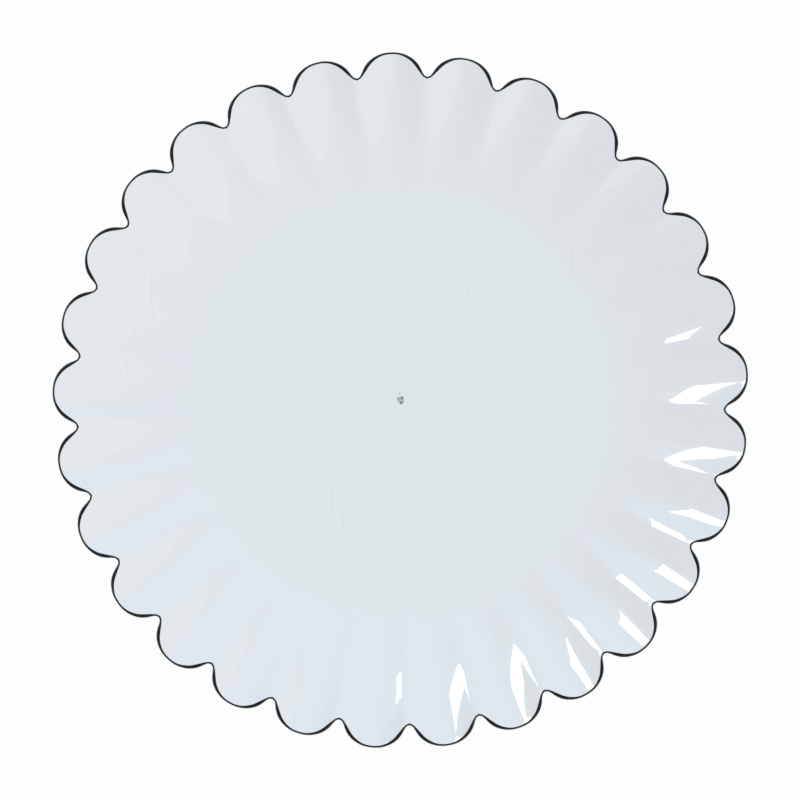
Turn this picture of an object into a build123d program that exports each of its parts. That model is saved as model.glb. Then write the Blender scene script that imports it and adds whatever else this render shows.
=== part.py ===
"""Scalloped dessert plate: a clear moulded plate and the black band along its petal-shaped edge.

Millimetres, +Z up. The plate's axis is the Z axis, the underside of its floor lies on Z = 0 and one petal
points along +X. The underside is drawn first, half a petal at a time, and the wall is thickened upwards from
it. The band is thickened outwards from the end of the wall.
"""

import os
from math import atan, cos, pi, sin

from build123d import *

# Main sizes
PETALS = 29
TIP_RADIUS = 95.0  # axis to a petal tip: 190 mm across the plate
NOTCH_DEPTH = 6.35  # a petal tip to the bottom of the notch beside it, along the radius
FLOOR_RADIUS = 54.0  # where the flat floor begins to turn up into the flutes
RIM_RISE = 9.0  # height of the underside at the petal tips
WALL = 1.0  # wall thickness, square to the surface
BAND = 0.2  # thickness of the black band on the edge

# Edge of half a petal: one curve from the tip, drawn out by a shoulder and a flank point, into the notch
END_PULL = 0.285  # share of half a pitch over which the curve keeps to its tangent at either end
SHOULDER_REACH = 0.936  # share of the way out from the notch to the tip
SHOULDER_TURN = 0.297  # share of the way round from the tip to the notch
SHOULDER_LIFT = 0.994  # share of the rim's rise
FLANK_REACH = 0.769
FLANK_TURN = 0.99
FLANK_LIFT = 1.227
NOTCH_LIFT = 0.957

# Moulding mark under the centre of the floor
GATE_RECESS_DIAMETER = 2.4
GATE_RECESS_DEPTH = 0.4
GATE_STUB_DIAMETER = 1.0
GATE_STUB_GAP = 0.1  # the stub ends this far above the base, so that the plate stands flat

# Derived sizes: the wall ends where the band begins
HALF_PITCH = pi / PETALS
TIP_SLOPE = atan(2 * RIM_RISE / (TIP_RADIUS - FLOOR_RADIUS))
WALL_TIP = TIP_RADIUS - BAND * cos(TIP_SLOPE)
WALL_NOTCH = WALL_TIP - NOTCH_DEPTH


def edge_point(reach, turn, lift):
    """A point that shapes the edge: how far out, how far round and how high, as shares."""
    radius = WALL_NOTCH + reach * (WALL_TIP - WALL_NOTCH)
    angle = turn * HALF_PITCH
    return Vector(radius * cos(angle), radius * sin(angle), lift * RIM_RISE)


# Edge of the wall over half a petal, and the radius that each of its points has on the plate
tip = edge_point(1, 0, 1)
shoulder = edge_point(SHOULDER_REACH, SHOULDER_TURN, SHOULDER_LIFT)
flank = edge_point(FLANK_REACH, FLANK_TURN, FLANK_LIFT)
notch = edge_point(0, 1, NOTCH_LIFT)
across_tip = Vector(0, 1)
across_notch = Vector(-sin(HALF_PITCH), cos(HALF_PITCH))
pull = END_PULL * HALF_PITCH
edge_points = [
    tip,
    tip + across_tip * (pull * WALL_TIP),
    shoulder,
    flank,
    notch - across_notch * (pull * WALL_NOTCH),
    notch,
]
edge_radii = [
    WALL_TIP,
    WALL_TIP,
    Vector(shoulder.X, shoulder.Y).length,
    Vector(flank.X, flank.Y).length,
    WALL_NOTCH,
    WALL_NOTCH,
]

# The same points drawn in to the floor, and a row half way that is level with it: the flute leaves the floor
# flat and curves up to the edge
floor_points = []
middle_points = []
for point, radius in zip(edge_points, edge_radii):
    share = FLOOR_RADIUS / radius
    floor_points.append(Vector(point.X * share, point.Y * share))
    middle_points.append(Vector(point.X, point.Y) * ((1 + share) / 2))
half_petal = Face.make_bezier_surface([floor_points, middle_points, edge_points])

# The whole underside: both halves of every petal, and the floor that they leave open
skin = []
floor_edges = []
for turn in PolarLocations(0, PETALS).locations:
    for half in (half_petal, half_petal.mirror(Plane.XZ)):
        skin.append(turn * half)
        floor_edges.append(turn * half.edges().sort_by_distance((0, 0, 0))[0])
skin.append(Face(Wire(floor_edges)))

with BuildPart() as plate_body:
    add(Solid.thicken(Shell(skin), WALL))
    wall_ends = plate_body.faces().filter_by(lambda face: abs(face.normal_at().Z) < cos(pi / 4))
    with BuildSketch():
        Circle(GATE_RECESS_DIAMETER / 2)
    extrude(amount=GATE_RECESS_DEPTH, mode=Mode.SUBTRACT)
    with BuildSketch(Plane.XY.offset(GATE_STUB_GAP)):
        Circle(GATE_STUB_DIAMETER / 2)
    extrude(amount=GATE_RECESS_DEPTH - GATE_STUB_GAP)
plate_body.part.label = "plate_body"

with BuildPart() as rim_band:
    add(Solid.thicken(Shell(wall_ends), BAND))
rim_band.part.label = "rim_band"

os.makedirs("parts", exist_ok=True)
export_step(plate_body.part, "parts/plate_body.step")
export_step(rim_band.part, "parts/rim_band.step")
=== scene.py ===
from collections import namedtuple
from math import comb, cos, hypot, pi, radians, sin, tan

import bpy
import numpy as np
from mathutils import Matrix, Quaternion, Vector


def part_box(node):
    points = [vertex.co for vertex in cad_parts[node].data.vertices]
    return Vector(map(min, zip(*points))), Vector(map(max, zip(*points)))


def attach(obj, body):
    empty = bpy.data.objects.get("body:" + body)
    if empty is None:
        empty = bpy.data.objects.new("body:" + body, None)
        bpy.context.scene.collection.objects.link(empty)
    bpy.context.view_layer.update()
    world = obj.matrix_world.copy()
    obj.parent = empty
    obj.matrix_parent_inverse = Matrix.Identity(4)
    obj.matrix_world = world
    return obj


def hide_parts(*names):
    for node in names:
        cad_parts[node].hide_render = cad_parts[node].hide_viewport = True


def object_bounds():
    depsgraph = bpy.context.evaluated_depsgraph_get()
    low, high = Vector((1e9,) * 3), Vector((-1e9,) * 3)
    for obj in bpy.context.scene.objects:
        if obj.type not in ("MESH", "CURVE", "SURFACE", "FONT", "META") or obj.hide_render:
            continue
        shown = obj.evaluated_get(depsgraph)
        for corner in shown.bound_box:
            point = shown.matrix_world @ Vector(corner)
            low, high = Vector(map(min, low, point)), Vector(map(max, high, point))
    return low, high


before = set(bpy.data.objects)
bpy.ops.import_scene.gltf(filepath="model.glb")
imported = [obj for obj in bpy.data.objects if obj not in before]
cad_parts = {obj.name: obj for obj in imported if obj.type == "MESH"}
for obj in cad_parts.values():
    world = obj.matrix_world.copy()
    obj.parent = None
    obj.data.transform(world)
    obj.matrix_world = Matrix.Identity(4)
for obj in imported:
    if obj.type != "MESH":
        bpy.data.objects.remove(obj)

cad_low, cad_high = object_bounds()
plate_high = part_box("plate_body")[1]

MM = 0.001
WHITE = (1.0, 1.0, 1.0, 1.0)

# The plate's shape, as in the solids: the underside of half a petal is one smooth patch
PETALS = 29
BAND = 0.2 * MM
WALL = 1.0 * MM
RIM_RISE = 9.0 * MM
FLOOR_RADIUS = 54.0 * MM
NOTCH_DEPTH = 6.35 * MM
HALF_PITCH = pi / PETALS
WALL_TIP = plate_high.x
WALL_NOTCH = WALL_TIP - NOTCH_DEPTH

# Points that shape the edge, as shares: of the way out from the notch to the tip, of the way round from the
# tip to the notch, and of the rim's rise
TIP = (1, 0, 1)
SHOULDER = (0.936, 0.297, 0.994)
FLANK = (0.769, 0.99, 1.227)
NOTCH = (0, 1, 0.957)
END_PULL = 0.285  # share of half a pitch over which the edge keeps to its tangent at either end

# Degrees of the patch
OUT_DEGREE = 2
EDGE_DEGREE = 5

# How finely the visible meshes are divided
HALF_STEPS = 12
FLUTE_ROWS = 26
COLUMNS = PETALS * 2 * HALF_STEPS
EDGE_SAMPLES = 801
EDGE_ARC_STEPS = 4
COAT_TOP_STEPS = 5

# Rings of the flat floor: radius in millimetres, and how many of the columns share a point there
FLOOR_RINGS = ((47.0, 1), (40.0, 2), (31.0, 2), (22.0, 4), (13.0, 4), (7.0, 8))
MARK_COLUMNS = COLUMNS // FLOOR_RINGS[-1][1]

# Edge of the wall: the radius of its corners, and the black coat on it, which fills the outer skin of the
# band's solid. It is rooted a hair inside the wall and starts under the edge
EDGE_ROUND = 0.22 * MM
COAT = 0.045 * MM
COAT_ROOT = 0.02 * MM
COAT_UNDER = radians(-60)
# Where the coat ends: share of the way from a petal's tip to the notch, and how far it wraps over the top
# corner there, in millimetres
COAT_WRAP_AT = (0.0, 0.25, 0.45, 0.6, 0.7, 0.8, 0.88, 1.0)
COAT_WRAP = (0.31, 0.35, 0.53, 0.64, 0.64, 0.39, 0.26, 0.33)

# The moulding mark, a torn scar in the recess under the floor. Two plain rings lead to torn ones, which have
# a radius, a height and how far the height is torn. All are in millimetres
MARK_APPROACH = (3.0, 1.6)
MARK_RINGS = (
    (1.05, 0.01, 0.00),
    (0.95, 0.05, 0.01),
    (0.84, 0.11, 0.03),
    (0.71, 0.19, 0.05),
    (0.58, 0.27, 0.08),
    (0.45, 0.20, 0.09),
    (0.32, 0.28, 0.08),
    (0.18, 0.18, 0.05),
)
# The tear is a sum of waves: how many go round, phase and size
MARK_WAVES = ((2, 0.4, 0.5), (3, 2.1, 0.6), (5, 4.4, 0.45), (7, 1.3, 0.4), (11, 5.2, 0.25))
MARK_UNEVEN = 0.13  # share of its radius by which the tear moves a ring in and out
MARK_TWIST = 17  # columns by which the tear in height turns from one ring to the next

# The camera stands as in the photograph, where one petal points this far round from the right
PETAL_PHASE = radians(4.629)
TIP_PIXELS = 348.63
IMAGE_PIXELS = 800
# The plate's axis lies this many pixels to the right of the picture's middle and above it
AXIS_RIGHT, AXIS_ABOVE = 0.72, -0.47
CAMERA_HEIGHT = 1.9
SENSOR = 36.0
CLIP_NEAR, CLIP_FAR = 0.01, 20

# Clear plastic. A noise is given by scale and detail, an edge by the values between which it comes up
PLASTIC_TINT = (0.774, 0.817, 0.845, 1.0)
SHADOW_TINT = (0.88, 0.91, 0.925, 1.0)
PLASTIC_IOR = 1.59
POLISH_NOISE = (35.0, 4.0)
POLISH_EDGE = (0.35, 0.75)
POLISH_ROUGHNESS = (0.012, 0.035)
RIPPLE_NOISE = (60.0, 2.0)
RIPPLE_STRENGTH = 0.1
RIPPLE_DEPTH = 0.05 * MM
MARKS_SINK = -0.3  # how far scratches, specks and the mark sink below the ripples
NOISE_MIDDLE = 0.5

# Hairline scratches in the plastic, which wander sideways and come in patches. The scratches are real; their
# darkening is painted shade
SCRATCH_SCALE = (1500.0, 42.0, 1.0)
SCRATCH_NOISE = (1.0, 1.0)
SCRATCH_EDGE = (0.69, 0.75)
SCRATCH_PAINTED_SHADE = 0.05
SCRATCH_ROUGHNESS = 0.10
WANDER_NOISE = (45.0, 1.0)
WANDER_SIZE = (0.004, 0.0, 0.0)
PATCH_NOISE = (24.0, 0.0)
PATCH_EDGE = (0.42, 0.58)

# Specks in the plastic: the middles of a few cells of a cell pattern
SPECK_SCALE = 130.0
SPECK_EDGE = (0.035, 0.015)
SPECK_CHOICE = (0.90, 0.92)
SPECK_DARKNESS = 0.35

# Colour of the moulding mark, which is painted shade standing for the light its rough, torn plastic
# scatters: spots by direction and distance from the plate's axis, radius and depth of colour, in degrees and
# millimetres, and a thin tail beside them
# Dark colour for the real specks, and painted shade for the scratches and the moulding mark
MARKS_AND_PAINTED_SHADE_TINT = (0.16, 0.175, 0.18, 1.0)
MARK_SPOTS = (
    (65.0, 0.78, 0.42, 1.0),
    (-79.0, 0.64, 0.38, 1.0),
    (146.0, 0.62, 0.66, 0.50),
    (10.0, 0.10, 0.90, 0.48),
)
SPOT_FADE = (1.25, 0.6)  # shares of a spot's radius between which it comes up
MARK_NOISE = (1500.0, 2.0)
MARK_RAGGED = 0.5 * MM
MARK_ROUGHNESS = 0.30
TAIL_AZIMUTH = 120.0
TAIL_SIDEWAYS = TAIL_AZIMUTH - 90.0
TAIL_SHIFT = 0.6 * MM
TAIL_SIDE = (0.22 * MM, 0.06 * MM)
TAIL_START = (0.9 * MM, 1.3 * MM)
TAIL_END = (2.2 * MM, 1.9 * MM)
TAIL_SHADE_DEPTH = 0.42

# Black coat
COAT_IOR = 1.45
COAT_SPECULAR = 0.16
COAT_NOISE = (700.0, 3.0)
COAT_BLACK = (0.010, 0.0115, 0.0125, 1.0)
COAT_RUBBED = (0.024, 0.026, 0.027, 1.0)
RUB_EDGE = (0.45, 0.75)
COAT_GLOSS_EDGE = (0.3, 0.75)
COAT_ROUGHNESS = (0.1, 0.22)
COAT_BUMP = 0.15
COAT_BUMP_DEPTH = 0.03 * MM

# White table
TABLE_SIZE = 6.0
TABLE_GAP = 0.02 * MM
TABLE_COLOUR = (0.95, 0.95, 0.95, 1.0)
TABLE_WHITE_SHARE = 0.95

# One soft box above the upper left of the picture, with sizes and angles in degrees as seen from the plate
KEY_DISTANCE = 3.0
KEY_AZIMUTH, KEY_ZENITH, KEY_ROLL = 141.6, 40.1, 3.0
KEY_WIDTH, KEY_HEIGHT = 17.6, 14.8
KEY_RADIANCE = 5.0

# The room's light: a base and areas of light that are added to it. An area comes up between two cosines of
# the angle from its direction
LEVEL = 90.0  # a level direction, in degrees from straight up
Area = namedtuple("Area", "azimuth zenith edge")
ROOM_BASE = (0.132, 0.165, 0.217, 1.0)
PALE_SIDE = Area(8.0, LEVEL, (-0.60, 0.14))
PALE_LIGHT = (0.480, 0.430, 0.340, 1.0)
COOL_SIDE = Area(30.0, LEVEL, (-0.09, 0.14))
COOL_LIGHT = (0.068, 0.122, 0.224, 1.0)
SKY_RIGHT = Area(53.0, LEVEL, (-0.06, 0.17))
SKY_LEFT = Area(136.0, LEVEL, (-0.23, 0.10))
SKY_LIGHT = (0.0, 0.148, 0.392, 1.0)
OVERHEAD = Area(0.0, 0.0, (0.9945, 0.9995))
OVERHEAD_LIGHT = (0.0, 0.145, 0.055, 1.0)
GLOW = Area(KEY_AZIMUTH, KEY_ZENITH, (cos(radians(19)), cos(radians(8))))
GLOW_LIGHT = (0.272, 0.330, 0.365, 1.0)
# A panel on the ceiling with a straight side: its edge is a distance along the ceiling, as a share of the
# ceiling's height
PANEL_AZIMUTH = -32.0
PANEL_EDGE = (0.405, 0.455)
PANEL_LOWEST = 0.05
PANEL_LIGHT = (0.240, 0.200, 0.160, 1.0)
# Low down the room turns white, whatever light was there before
LOW_DOWN = Area(0.0, 0.0, (0.36, 0.16))


def edge_net():
    """Control points of the wall's edge over half a petal, and the radius that each has on the plate."""

    def shaped(reach, turn, lift):
        radius = WALL_NOTCH + reach * (WALL_TIP - WALL_NOTCH)
        angle = turn * HALF_PITCH
        return np.array([radius * cos(angle), radius * sin(angle), lift * RIM_RISE])

    tip = shaped(*TIP)
    shoulder = shaped(*SHOULDER)
    flank = shaped(*FLANK)
    notch = shaped(*NOTCH)
    across_tip = np.array([0, 1, 0])
    across_notch = np.array([-sin(HALF_PITCH), cos(HALF_PITCH), 0])
    pull = END_PULL * HALF_PITCH
    points = [
        tip,
        tip + across_tip * pull * WALL_TIP,
        shoulder,
        flank,
        notch - across_notch * pull * WALL_NOTCH,
        notch,
    ]
    radii = [WALL_TIP, WALL_TIP, hypot(*shoulder[:2]), hypot(*flank[:2]), WALL_NOTCH, WALL_NOTCH]
    return np.array(points), np.array(radii)


def flute_net():
    """Three rows of control points from the floor to the edge."""
    edge, radii = edge_net()
    flat = edge * (1, 1, 0)
    share = (FLOOR_RADIUS / radii)[:, None]
    return np.array([flat * share, flat * (1 + share) / 2, edge])


def basis(degree, shares):
    """Bernstein polynomials of this degree at these shares of the way, one column for each."""
    columns = [comb(degree, i) * shares**i * (1 - shares) ** (degree - i) for i in range(degree + 1)]
    return np.stack(columns, -1)


def slope_basis(degree, shares):
    """Slopes of the Bernstein polynomials."""
    low = basis(degree - 1, shares)
    zero = np.zeros(shares.shape + (1,))
    return degree * (np.concatenate([zero, low], -1) - np.concatenate([low, zero], -1))


def flute(out_shares, edge_shares):
    """Points, upward normals and along-the-edge tangents of the underside over half a petal."""
    net = flute_net()
    out_basis = basis(OUT_DEGREE, out_shares)
    edge_basis = basis(EDGE_DEGREE, edge_shares)
    spots = np.einsum("si,vj,ijk->svk", out_basis, edge_basis, net)
    out = np.einsum("si,vj,ijk->svk", slope_basis(OUT_DEGREE, out_shares), edge_basis, net)
    along = np.einsum("si,vj,ijk->svk", out_basis, slope_basis(EDGE_DEGREE, edge_shares), net)
    normals = np.cross(out, along)
    normals /= np.linalg.norm(normals, axis=-1, keepdims=True)
    along /= np.linalg.norm(along, axis=-1, keepdims=True)
    return spots, normals, along


def whole_turn(half, mirrored_sign):
    """Repeats rows of vectors over half a petal round the whole plate, in order of angle."""
    mirror = np.array([1, -1, 1])
    other = half[:, ::-1] * mirror * mirrored_sign
    petal = np.concatenate([other[:, :-1], half[:, :-1]], 1)
    turned = []
    for k in range(PETALS):
        angle = 2 * HALF_PITCH * k
        turn = np.array([[cos(angle), sin(angle), 0], [-sin(angle), cos(angle), 0], [0, 0, 1]])
        turned.append(petal @ turn)
    return np.concatenate(turned, 1)


def even_steps(count):
    """Shares along half a petal at even distances along its edge."""
    fine = np.linspace(0, 1, EDGE_SAMPLES)
    edge = basis(EDGE_DEGREE, fine) @ edge_net()[0]
    run = np.concatenate([[0], np.cumsum(np.linalg.norm(np.diff(edge, axis=0), axis=1))])
    return np.interp(np.linspace(0, run[-1], count + 1), run, fine)


half_spots, half_normals, half_along = flute(np.linspace(0, 1, FLUTE_ROWS + 1), even_steps(HALF_STEPS))
SPOTS = whole_turn(half_spots, 1)
NORMALS = whole_turn(half_normals, 1)
ALONG = whole_turn(half_along, -1)
OUTWARD = np.cross(ALONG, NORMALS)


class Rings:
    """A mesh grown ring by ring from closed rows of points."""

    def __init__(self):
        self.points = []
        self.faces = []
        self.row = None

    def add(self, points):
        """Adds a row of points without joining it to anything."""
        first = len(self.points)
        self.points.extend(map(tuple, points))
        self.row = list(range(first, first + len(points)))
        return self.row

    def grow(self, points):
        """Adds a row and joins it to the last one."""
        old = self.row
        new = self.add(points)
        self.join(old, new)
        return new

    def join(self, old, new):
        """Joins two rows. A row of half as many points is joined by triangles."""
        count = len(new)
        if len(old) == count:
            for i in range(count):
                j = (i + 1) % count
                self.faces.append((old[i], old[j], new[j], new[i]))
            return
        for i in range(count):
            j = (i + 1) % count
            before, between, after = old[2 * i], old[2 * i + 1], old[(2 * i + 2) % len(old)]
            self.faces.append((before, between, new[i]))
            self.faces.append((between, new[j], new[i]))
            self.faces.append((between, after, new[j]))

    def close(self, centre):
        """Closes the last row with a fan."""
        old = self.row
        self.points.append(tuple(centre))
        middle = len(self.points) - 1
        for i in range(len(old)):
            self.faces.append((old[i], old[(i + 1) % len(old)], middle))

    def make(self, name):
        """Makes a smooth object of the rings."""
        mesh = bpy.data.meshes.new(name)
        mesh.from_pydata(self.points, [], self.faces)
        mesh.validate()
        mesh.polygons.foreach_set("use_smooth", [True] * len(mesh.polygons))
        thing = bpy.data.objects.new(name, mesh)
        bpy.context.scene.collection.objects.link(thing)
        return thing


def ring_angles(count):
    """Angles of the points of a ring, from the notch before the first petal."""
    return -HALF_PITCH + np.arange(count) * 2 * pi / count


def ring(radius, height, count):
    """A level row of points, each at its column's angle."""
    angles = ring_angles(count)
    return np.stack([radius * np.cos(angles), radius * np.sin(angles), np.full(count, height)], -1)


def mark_rows():
    """Rows of points of the mark, from the flat floor inwards: a torn recess and a torn stub."""
    angles = ring_angles(MARK_COLUMNS)
    wave = sum(size * np.sin(count * angles + phase) for count, phase, size in MARK_WAVES)
    rows = [ring(radius * MM, 0, MARK_COLUMNS) for radius in MARK_APPROACH]
    for k, (radius, height, torn) in enumerate(MARK_RINGS):
        row = ring(radius * MM, 0, MARK_COLUMNS)
        row[:, :2] *= (1 + MARK_UNEVEN * np.roll(wave, k))[:, None]
        row[:, 2] = (height + torn * np.roll(wave, MARK_TWIST * k)) * MM
        rows.append(row)
    return rows


def wall_edge(out_shift):
    """Rows round the end of the wall, from the underside to the top, with rounded corners."""
    base, normal, outward = SPOTS[-1], NORMALS[-1], OUTWARD[-1]
    rows = []
    for centre_up, start in ((EDGE_ROUND, -pi / 2), (WALL - EDGE_ROUND, 0)):
        for k in range(EDGE_ARC_STEPS + 1):
            angle = start + pi / 2 * k / EDGE_ARC_STEPS
            out = out_shift + EDGE_ROUND * (cos(angle) - 1)
            up = centre_up + EDGE_ROUND * sin(angle)
            rows.append(base + outward * out + normal * up)
    return rows


def plate_mesh():
    """The clear moulding: underside with its mark, rounded edge and top."""
    plate = Rings()
    # The underside is built from its edge inwards and turned over at the end
    plate.add(SPOTS[-2])
    outer_under = list(plate.row)
    for k in range(FLUTE_ROWS - 2, -1, -1):
        plate.grow(SPOTS[k])
    for radius, sharing in FLOOR_RINGS:
        plate.grow(ring(radius * MM, 0, COLUMNS // sharing))
    for row in mark_rows():
        plate.grow(row)
    plate.close((0, 0, MARK_RINGS[-1][1] * MM))
    under_faces = len(plate.faces)
    # Round the edge and back over the top
    plate.row = outer_under
    for row in wall_edge(BAND - COAT):
        plate.grow(row)
    for k in range(FLUTE_ROWS - 1, -1, -1):
        plate.grow(SPOTS[k] + NORMALS[k] * WALL)
    for radius, sharing in FLOOR_RINGS:
        plate.grow(ring(radius * MM, WALL, COLUMNS // sharing))
    plate.grow(ring(MARK_APPROACH[0] * MM, WALL, MARK_COLUMNS))
    plate.close((0, 0, WALL))
    plate.faces[:under_faces] = [face[::-1] for face in plate.faces[:under_faces]]
    return plate.make("plate_moulding")


def coat_rows(lift):
    """Rows of the coat from under the edge, round it and over the top corner, this far off the wall."""
    base, normal, outward = SPOTS[-1], NORMALS[-1], OUTWARD[-1]
    half = np.linspace(0, 1, HALF_STEPS + 1)
    petal = np.concatenate([half[:0:-1], half[:-1]])
    wrap = np.interp(np.tile(petal, PETALS), COAT_WRAP_AT, COAT_WRAP) * MM
    corner = BAND - COAT - EDGE_ROUND
    quarter = EDGE_ROUND * pi / 2
    reach = EDGE_ROUND + lift
    rows = []
    for k in range(EDGE_ARC_STEPS + 1):
        angle = COAT_UNDER * (1 - k / EDGE_ARC_STEPS)
        out = corner + reach * cos(angle)
        up = EDGE_ROUND + reach * sin(angle)
        rows.append(base + outward * out + normal * up)
    for k in range(COAT_TOP_STEPS + 1):
        run = wrap * k / COAT_TOP_STEPS
        angle = np.minimum(run, quarter) / EDGE_ROUND
        past = np.maximum(run - quarter, 0)
        out = corner + reach * np.cos(angle) - past
        up = WALL - EDGE_ROUND + reach * np.sin(angle)
        rows.append(base + outward * out[:, None] + normal * up[:, None])
    return rows


def band_mesh():
    """The black coat: a thin closed skin round the end of the wall, rooted a hair inside it."""
    band = Rings()
    rows = coat_rows(COAT) + coat_rows(-COAT_ROOT)[::-1]
    first = band.add(rows[0])
    for row in rows[1:]:
        last = band.grow(row)
    band.join(last, first)
    return band.make("edge_band")


def direction(azimuth, zenith):
    """A direction by its angles, in degrees, round from the right of the photograph and from straight up."""
    turn = radians(azimuth) - PETAL_PHASE
    tilt = radians(zenith)
    return Vector((sin(tilt) * cos(turn), sin(tilt) * sin(turn), cos(tilt)))


class Nodes:
    """A small helper for a node tree. Most of its methods return a socket that others can take."""

    # Colour sockets of a Mix node, whose names its other sockets have too
    MIX_UNDER, MIX_OVER, MIX_RESULT = 6, 7, 2

    def __init__(self, tree):
        self.tree = tree
        tree.nodes.clear()

    def new(self, kind, **settings):
        node = self.tree.nodes.new(kind)
        for name, value in settings.items():
            setattr(node, name, value)
        return node

    def link(self, source, target):
        self.tree.links.new(source, target)

    def feed(self, value, target):
        """Links a socket to the target, or sets the target to a plain value."""
        if isinstance(value, bpy.types.NodeSocket):
            self.link(value, target)
        else:
            target.default_value = value

    def maths(self, operation, *values):
        node = self.new("ShaderNodeMath", operation=operation)
        for value, target in zip(values, node.inputs):
            self.feed(value, target)
        return node.outputs["Value"]

    def vector(self, operation, *values, output="Vector"):
        node = self.new("ShaderNodeVectorMath", operation=operation)
        for value, target in zip(values, node.inputs):
            self.feed(value, target)
        return node.outputs[output]

    def toward(self, place, azimuth, zenith):
        """How far a place or a ray reaches in a direction."""
        return self.vector("DOT_PRODUCT", place, direction(azimuth, zenith), output="Value")

    def ease(self, value, edge, span=(0.0, 1.0)):
        """A smooth step between the two values of the edge, from one end of the span to the other."""
        node = self.new("ShaderNodeMapRange", interpolation_type="SMOOTHSTEP")
        self.link(value, node.inputs["Value"])
        node.inputs["From Min"].default_value, node.inputs["From Max"].default_value = edge
        node.inputs["To Min"].default_value, node.inputs["To Max"].default_value = span
        return node.outputs["Result"]

    def noise(self, place, scale, detail, output="Fac"):
        node = self.new("ShaderNodeTexNoise")
        node.inputs["Scale"].default_value = scale
        node.inputs["Detail"].default_value = detail
        self.link(place, node.inputs["Vector"])
        return node.outputs[output]

    def mix(self, under, amount, over, kind="MIX"):
        node = self.new("ShaderNodeMix", data_type="RGBA", blend_type=kind)
        self.link(amount, node.inputs["Factor"])
        self.feed(under, node.inputs[self.MIX_UNDER])
        self.feed(over, node.inputs[self.MIX_OVER])
        return node.outputs[self.MIX_RESULT]

    def bump(self, height, strength, depth):
        node = self.new("ShaderNodeBump")
        node.inputs["Strength"].default_value = strength
        node.inputs["Distance"].default_value = depth
        self.link(height, node.inputs["Height"])
        return node.outputs["Normal"]

    def mix_shaders(self, amount, first, second):
        node = self.new("ShaderNodeMixShader")
        self.link(amount, node.inputs["Fac"])
        self.link(first, node.inputs[1])
        self.link(second, node.inputs[2])
        return node.outputs["Shader"]


def new_material(name):
    material = bpy.data.materials.new(name)
    material.use_nodes = True
    return material, Nodes(material.node_tree)


def scratch_pattern(nodes, place):
    """Scratches that wander a little, in patches, and run up and down the picture."""
    middle = (NOISE_MIDDLE, NOISE_MIDDLE, NOISE_MIDDLE)
    sideways = nodes.vector("SUBTRACT", nodes.noise(place, *WANDER_NOISE, output="Color"), middle)
    wander = nodes.vector("MULTIPLY", sideways, WANDER_SIZE)
    stretch = nodes.new("ShaderNodeMapping")
    stretch.inputs["Scale"].default_value = SCRATCH_SCALE
    stretch.inputs["Rotation"].default_value = (0.0, 0.0, PETAL_PHASE)
    nodes.link(nodes.vector("ADD", place, wander), stretch.inputs["Vector"])
    hairs = nodes.ease(nodes.noise(stretch.outputs["Vector"], *SCRATCH_NOISE), SCRATCH_EDGE)
    patches = nodes.ease(nodes.noise(place, *PATCH_NOISE), PATCH_EDGE)
    return nodes.maths("MULTIPLY", hairs, patches)


def speck_pattern(nodes, place):
    """A few small specks."""
    cells = nodes.new("ShaderNodeTexVoronoi")
    cells.inputs["Scale"].default_value = SPECK_SCALE
    nodes.link(place, cells.inputs["Vector"])
    choice = nodes.new("ShaderNodeSeparateColor")
    nodes.link(cells.outputs["Color"], choice.inputs["Color"])
    middles = nodes.ease(cells.outputs["Distance"], SPECK_EDGE)
    return nodes.maths("MULTIPLY", middles, nodes.ease(choice.outputs["Red"], SPECK_CHOICE))


def mark_with_painted_shade(nodes, place):
    """The moulding mark's colour, which is painted shade: a ragged blotch of spots with a thin tail."""
    unevenness = nodes.maths("SUBTRACT", nodes.noise(place, *MARK_NOISE), NOISE_MIDDLE)
    ragged = nodes.maths("MULTIPLY", unevenness, MARK_RAGGED)
    mark = 0.0
    for azimuth, distance, radius, depth in MARK_SPOTS:
        centre = tuple(direction(azimuth, LEVEL) * distance * MM)
        offset = nodes.vector("MULTIPLY", nodes.vector("SUBTRACT", place, centre), (1.0, 1.0, 0.0))
        reach = nodes.maths("ADD", nodes.vector("LENGTH", offset, output="Value"), ragged)
        fade = [share * radius * MM for share in SPOT_FADE]
        mark = nodes.maths("MAXIMUM", nodes.ease(reach, fade, (0.0, depth)), mark)
    beside = nodes.maths("SUBTRACT", nodes.toward(place, TAIL_SIDEWAYS, LEVEL), TAIL_SHIFT)
    across = nodes.maths("ABSOLUTE", beside)
    along = nodes.toward(place, TAIL_AZIMUTH, LEVEL)
    tail = nodes.maths("MULTIPLY", nodes.ease(across, TAIL_SIDE), nodes.ease(along, TAIL_START))
    tail = nodes.maths("MULTIPLY", tail, nodes.ease(along, TAIL_END, (0.0, TAIL_SHADE_DEPTH)))
    return nodes.maths("MAXIMUM", mark, tail)


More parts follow.
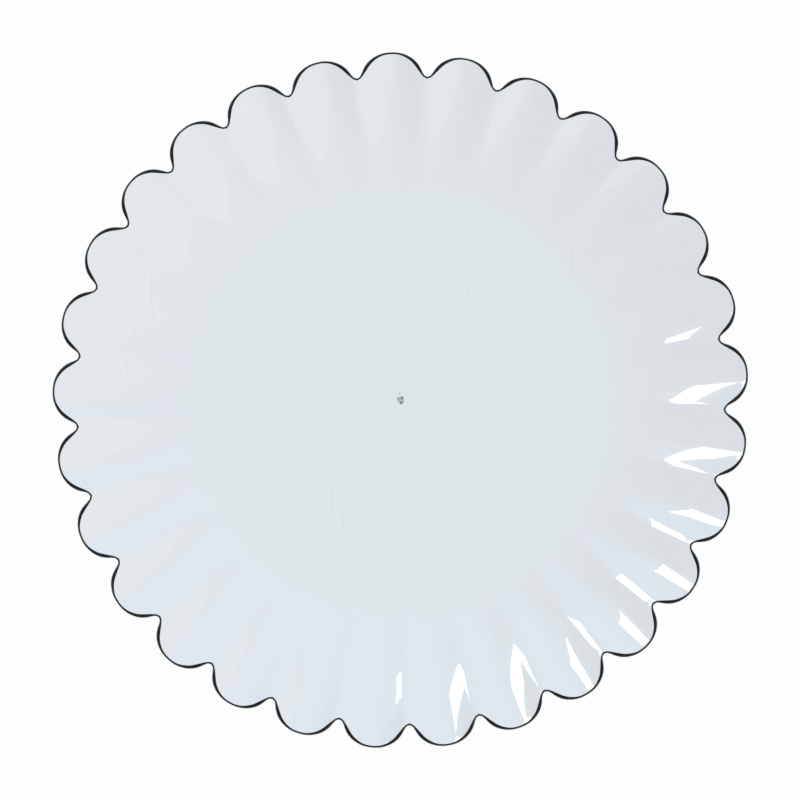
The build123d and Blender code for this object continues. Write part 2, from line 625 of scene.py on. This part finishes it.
def clear_plastic():
    """Clear moulded plastic: faint flow ripples, scratches, a few specks and a dull moulding mark; scratches
    and mark are darkened by painted shade.
    """
    material, nodes = new_material("clear_plastic")
    place = nodes.new("ShaderNodeTexCoord").outputs["Object"]
    scratches = scratch_pattern(nodes, place)
    specks = speck_pattern(nodes, place)
    mark = mark_with_painted_shade(nodes, place)

    shader = nodes.new("ShaderNodeBsdfPrincipled")
    shader.inputs["Transmission Weight"].default_value = 1.0
    shader.inputs["IOR"].default_value = PLASTIC_IOR

    # Scratches and the moulding mark darken the plastic with painted shade; the specks are dark in
    # themselves
    painted_scratch_shade = nodes.maths("MULTIPLY", scratches, SCRATCH_PAINTED_SHADE)
    dark_specks = nodes.maths("MULTIPLY", specks, SPECK_DARKNESS)
    painted_shade_and_specks = nodes.maths("MAXIMUM", nodes.maths("MAXIMUM", painted_scratch_shade, dark_specks), mark)
    nodes.link(nodes.mix(PLASTIC_TINT, painted_shade_and_specks, MARKS_AND_PAINTED_SHADE_TINT), shader.inputs["Base Color"])

    rough = nodes.ease(nodes.noise(place, *POLISH_NOISE), POLISH_EDGE, POLISH_ROUGHNESS)
    rough = nodes.maths("MULTIPLY_ADD", scratches, SCRATCH_ROUGHNESS, rough)
    rough = nodes.maths("MULTIPLY_ADD", mark, MARK_ROUGHNESS, rough)
    nodes.link(rough, shader.inputs["Roughness"])

    marks = nodes.maths("MAXIMUM", nodes.maths("MAXIMUM", scratches, specks), mark)
    height = nodes.maths("MULTIPLY_ADD", marks, MARKS_SINK, nodes.noise(place, *RIPPLE_NOISE))
    nodes.link(nodes.bump(height, RIPPLE_STRENGTH, RIPPLE_DEPTH), shader.inputs["Normal"])

    # Lamps shine straight through, so that the table under the plate gets only a faint shadow
    through = nodes.new("ShaderNodeBsdfTransparent")
    through.inputs["Color"].default_value = SHADOW_TINT
    path = nodes.new("ShaderNodeLightPath")
    lighting = nodes.maths("MAXIMUM", path.outputs["Is Shadow Ray"], path.outputs["Is Diffuse Ray"])
    surface = nodes.mix_shaders(lighting, shader.outputs["BSDF"], through.outputs["BSDF"])
    nodes.link(surface, nodes.new("ShaderNodeOutputMaterial").inputs["Surface"])
    return material


def black_coat():
    """Black paint, slightly uneven, with a few paler rubbed spots."""
    material, nodes = new_material("black_band")
    place = nodes.new("ShaderNodeTexCoord").outputs["Object"]
    grain = nodes.noise(place, *COAT_NOISE)
    shader = nodes.new("ShaderNodeBsdfPrincipled")
    shader.inputs["IOR"].default_value = COAT_IOR
    shader.inputs["Specular IOR Level"].default_value = COAT_SPECULAR
    colour = nodes.mix(COAT_BLACK, nodes.ease(grain, RUB_EDGE), COAT_RUBBED)
    nodes.link(colour, shader.inputs["Base Color"])
    nodes.link(nodes.ease(grain, COAT_GLOSS_EDGE, COAT_ROUGHNESS), shader.inputs["Roughness"])
    nodes.link(nodes.bump(grain, COAT_BUMP, COAT_BUMP_DEPTH), shader.inputs["Normal"])
    nodes.link(shader.outputs["BSDF"], nodes.new("ShaderNodeOutputMaterial").inputs["Surface"])
    return material


def seen_directly(nodes):
    """1 for rays that show the background: to the camera, in gloss and through clear things."""
    path = nodes.new("ShaderNodeLightPath")
    shown = nodes.maths("MAXIMUM", path.outputs["Is Camera Ray"], path.outputs["Is Glossy Ray"])
    return nodes.maths("MAXIMUM", shown, path.outputs["Is Transmission Ray"])


def white_table():
    """A table that shows as white and keeps a faint shadow."""
    material, nodes = new_material("white_table")
    diffuse = nodes.new("ShaderNodeBsdfDiffuse")
    diffuse.inputs["Color"].default_value = TABLE_COLOUR
    white = nodes.new("ShaderNodeEmission")
    white.inputs["Color"].default_value = WHITE
    share = nodes.maths("MULTIPLY", seen_directly(nodes), TABLE_WHITE_SHARE)
    surface = nodes.mix_shaders(share, diffuse.outputs["BSDF"], white.outputs["Emission"])
    nodes.link(surface, nodes.new("ShaderNodeOutputMaterial").inputs["Surface"])
    return material


def make_floor():
    """The table under the plate."""
    half = TABLE_SIZE / 2
    mesh = bpy.data.meshes.new("table")
    corners = [(-half, -half, 0), (half, -half, 0), (half, half, 0), (-half, half, 0)]
    mesh.from_pydata(corners, [], [(0, 1, 2, 3)])
    table = bpy.data.objects.new("table", mesh)
    table.location.z = cad_low.z - TABLE_GAP
    bpy.context.scene.collection.objects.link(table)
    table.data.materials.append(white_table())


def make_world():
    """A room: darker on the left, sky-blue beyond the picture's top, paler on the right, white low down."""
    world = bpy.data.worlds.new("room")
    bpy.context.scene.world = world
    world.use_nodes = True
    nodes = Nodes(world.node_tree)
    ray = nodes.new("ShaderNodeTexCoord").outputs["Generated"]

    def light_from(area):
        return nodes.ease(nodes.toward(ray, area.azimuth, area.zenith), area.edge)

    total = nodes.mix(ROOM_BASE, light_from(PALE_SIDE), PALE_LIGHT, "ADD")
    total = nodes.mix(total, light_from(COOL_SIDE), COOL_LIGHT, "ADD")
    sky = nodes.maths("MULTIPLY", light_from(SKY_RIGHT), light_from(SKY_LEFT))
    total = nodes.mix(total, sky, SKY_LIGHT, "ADD")
    total = nodes.mix(total, light_from(OVERHEAD), OVERHEAD_LIGHT, "ADD")
    height = nodes.maths("MAXIMUM", nodes.toward(ray, 0, 0), PANEL_LOWEST)
    along_ceiling = nodes.maths("DIVIDE", nodes.toward(ray, PANEL_AZIMUTH, LEVEL), height)
    total = nodes.mix(total, nodes.ease(along_ceiling, PANEL_EDGE), PANEL_LIGHT, "ADD")
    total = nodes.mix(total, light_from(GLOW), GLOW_LIGHT, "ADD")
    total = nodes.mix(total, light_from(LOW_DOWN), WHITE)
    path = nodes.new("ShaderNodeLightPath")
    total = nodes.mix(total, path.outputs["Is Camera Ray"], WHITE)
    background = nodes.new("ShaderNodeBackground")
    nodes.link(total, background.inputs["Color"])
    nodes.link(background.outputs["Background"], nodes.new("ShaderNodeOutputWorld").inputs["Surface"])


def make_lamp():
    """The soft box, turned to face the plate."""
    lamp = bpy.data.lights.new("key", "AREA")
    lamp.shape = "RECTANGLE"
    lamp.size = 2 * KEY_DISTANCE * tan(radians(KEY_WIDTH / 2))
    lamp.size_y = 2 * KEY_DISTANCE * tan(radians(KEY_HEIGHT / 2))
    lamp.energy = KEY_RADIANCE * pi * lamp.size * lamp.size_y
    key = bpy.data.objects.new("key", lamp)
    way = direction(KEY_AZIMUTH, KEY_ZENITH)
    key.location = way * KEY_DISTANCE
    roll = Quaternion((0, 0, 1), radians(KEY_ROLL))
    key.rotation_euler = (way.to_track_quat("Z", "Y") @ roll).to_euler()
    bpy.context.scene.collection.objects.link(key)


def make_camera():
    """Straight above the plate, far off, and turned so that the petals lie as in the photograph."""
    data = bpy.data.cameras.new("camera")
    rim_distance = CAMERA_HEIGHT - RIM_RISE
    tip = WALL_TIP + BAND
    data.sensor_width = SENSOR
    data.lens = TIP_PIXELS / IMAGE_PIXELS * SENSOR * rim_distance / tip
    data.shift_x = -AXIS_RIGHT / IMAGE_PIXELS
    data.shift_y = -AXIS_ABOVE / IMAGE_PIXELS
    data.clip_start = CLIP_NEAR
    data.clip_end = CLIP_FAR
    camera = bpy.data.objects.new("camera", data)
    camera.location = (0, 0, CAMERA_HEIGHT)
    camera.rotation_euler = (0, 0, -PETAL_PHASE)
    bpy.context.scene.collection.objects.link(camera)
    bpy.context.scene.camera = camera


make_camera()
make_world()
make_lamp()
make_floor()

moulding = plate_mesh()
moulding.data.materials.append(clear_plastic())
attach(moulding, "root")
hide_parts("plate_body")

coat = band_mesh()
coat.data.materials.append(black_coat())
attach(coat, "root")
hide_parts("rim_band")

bpy.context.scene.view_settings.view_transform = "Standard"
